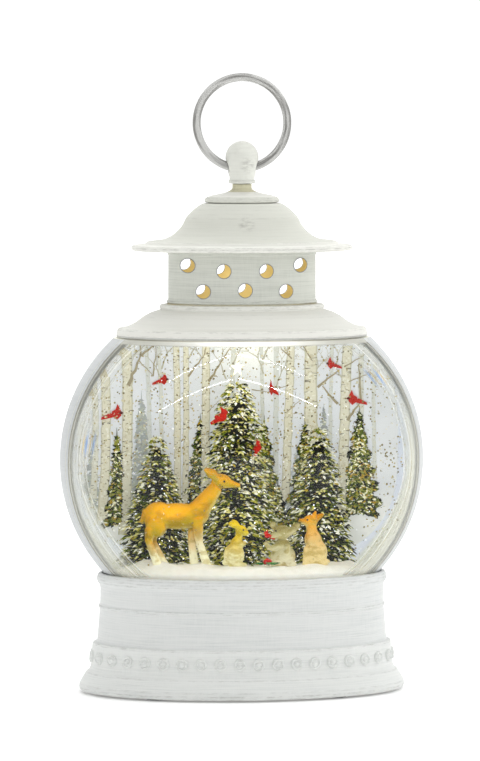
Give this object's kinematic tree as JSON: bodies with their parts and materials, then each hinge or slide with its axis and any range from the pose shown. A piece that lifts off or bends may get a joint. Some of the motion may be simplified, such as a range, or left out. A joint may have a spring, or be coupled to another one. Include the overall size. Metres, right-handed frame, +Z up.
{
  "type": "snow globe",
  "caption": "Battery-lit snow globe: flat oval water globe with deer and spruces on a hollow beaded base, under a lantern roof with carry ring.",
  "frame": {"origin": "on the table under the middle of the base", "axes": "+Z up, front towards -Y, +X to the right seen from the front"},
  "size_m": [0.171, 0.089, 0.2898],
  "materials": {
    "whitewash_paint": "brushed whitewash paint with grey rubbed edges",
    "ring_paint": "whitewashed silver-grey, brushed along the wire",
    "clear_shell": "clear polished",
    "water": "clear water with gold glitter flakes",
    "print": "printed winter birch forest",
    "snow": "milky translucent resin, lit from below",
    "spruce": "dark green needles with white tips",
    "star": "glowing warm white",
    "fawn": "amber translucent resin fading to white legs",
    "straw": "yellow translucent resin",
    "grey_fur": "grey-beige resin",
    "fox_fur": "orange-tan resin with pale chest",
    "bird_red": "bright red",
    "holly": "green leaves and red berries",
    "steel": "zinc plated",
    "magnet": "nickel plated",
    "white_plastic": "moulded",
    "black_plastic": "moulded",
    "rubber": "soft grey",
    "board": "green solder mask",
    "cell": "plain wrapped cell",
    "lamp": "warm white lamp"
  },
  "bodies": {
    "lantern": {"base_shell": "whitewash_paint", "shoulder_skirt": "whitewash_paint", "vent_gallery": "whitewash_paint", "roof": "whitewash_paint", "roof_cap": "whitewash_paint", "finial_knob": "whitewash_paint", "globe_back": "whitewash_paint", "globe_front": "clear_shell", "globe_plug": "clear_shell", "water_fill": "water", "scene_backdrop": "print", "snow_ground": "snow", "tree_centre": "spruce", "tree_left": "spruce", "tree_right": "spruce", "tree_star": "star", "deer": "fawn", "rabbit": "straw", "raccoon": "grey_fur", "fox": "fox_fur", "cardinal_left_perch": "bird_red", "cardinal_right_perch": "bird_red", "cardinal_on_paw": "bird_red", "holly_sprig": "holly", "finial_screw": "steel", "globe_screw_left": "steel", "globe_screw_right": "steel", "impeller_pin": "steel", "motor": "steel", "contact_strip_left": "steel", "contact_strip_right": "steel", "plate_screw_1": "steel", "plate_screw_2": "steel", "plate_screw_3": "steel", "plate_screw_4": "steel", "bottom_plate": "white_plastic", "motor_bracket": "white_plastic", "switch_body": "black_plastic", "plug_gasket": "rubber", "foot_pad_1": "rubber", "foot_pad_2": "rubber", "foot_pad_3": "rubber", "foot_pad_4": "rubber", "control_board": "board", "lamp_board": "board", "battery_cell_1": "cell", "battery_cell_2": "cell", "battery_cell_3": "cell", "lamp_left": "lamp", "lamp_right": "lamp"},
    "carry_ring": {"carry_ring": "ring_paint"},
    "battery_door": {"battery_door": "white_plastic"},
    "switch_slider": {"switch_slider": "black_plastic"},
    "drive": {"motor_shaft": "steel", "magnet_carrier": "black_plastic", "drive_magnet": "magnet"},
    "impeller": {"impeller": "white_plastic", "impeller_magnet": "magnet"}
  },
  "joints": [
    {"name": "ring_swing", "type": "hinge", "parent": "lantern", "child": "carry_ring", "pos_m": [0, 0, 0.2462], "axis": [1, 0, 0], "range_deg": [-120, 120]},
    {"name": "battery_door_hinge", "type": "hinge", "parent": "lantern", "child": "battery_door", "pos_m": [0, 0.0241, 0.0044], "axis": [1, 0, 0], "range_deg": [0, 95]},
    {"name": "switch_slide", "type": "slide", "parent": "lantern", "child": "switch_slider", "axis": [0, 1, 0], "range_m": [-0.002, 0.002]},
    {"name": "drive_spin", "type": "hinge", "parent": "lantern", "child": "drive", "pos_m": [0, 0, 0.0375], "axis": [0, 0, 1], "continuous": true},
    {"name": "impeller_spin", "type": "hinge", "parent": "lantern", "child": "impeller", "pos_m": [0, 0, 0.05], "axis": [0, 0, 1], "continuous": true}
  ],
  "couplings": [
    {"joint": "impeller_spin", "follows": "drive_spin", "ratio": 1}
  ]
}
